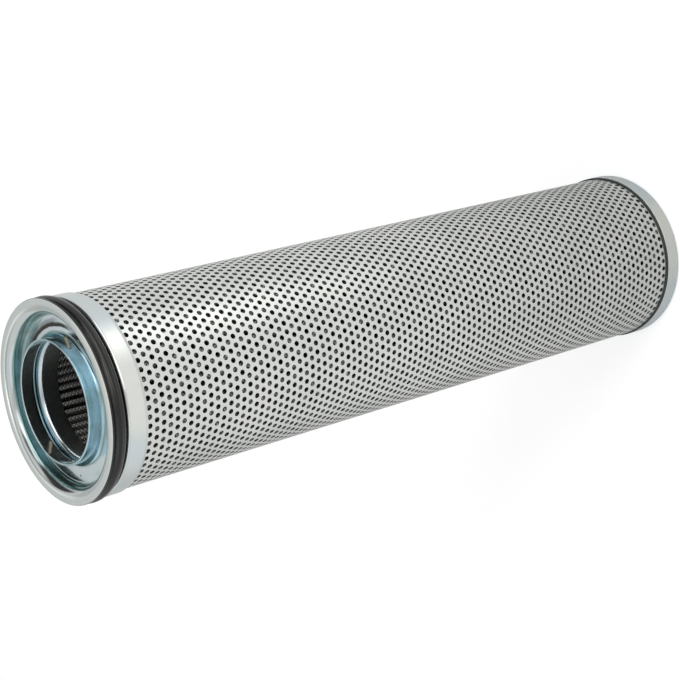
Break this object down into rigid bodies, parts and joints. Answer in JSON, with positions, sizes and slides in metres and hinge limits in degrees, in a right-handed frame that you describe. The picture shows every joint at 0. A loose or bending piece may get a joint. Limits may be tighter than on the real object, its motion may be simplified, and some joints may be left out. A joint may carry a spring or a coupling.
{
  "type": "hydraulic filter element",
  "caption": "Pleated hydraulic filter element in a perforated tube, with a sealing dish, neck and O-ring at one end and a closed cap at the other.",
  "frame": {"origin": "centre of the closed end cap's outer face, which the element stands on", "axes": "+Z along the element's axis, towards the neck"},
  "size_m": [0.09, 0.09, 0.36],
  "materials": {
    "zinc_plate": "blue-passivated zinc plate, bright",
    "tinned_sheet": "bright tinned sheet, satin",
    "black_rubber": "satin",
    "steel_wire": "woven wire, dull",
    "fleece": "matt non-woven",
    "glass_fibre": "matt fibre mat",
    "adhesive": "cured, satin"
  },
  "bodies": {
    "root": {"sealing_dish": "zinc_plate", "seal_ring": "black_rubber", "front_end_cap": "zinc_plate", "rear_end_cap": "zinc_plate", "front_potting": "adhesive", "rear_potting": "adhesive", "rear_adhesive_bead": "adhesive", "perforated_tube": "tinned_sheet", "inner_wire_mesh": "steel_wire", "upstream_fleece": "fleece", "glass_fibre_sheet": "glass_fibre", "downstream_fleece": "fleece", "outer_wire_mesh": "steel_wire", "seam_clip": "zinc_plate"}
  },
  "joints": []
}
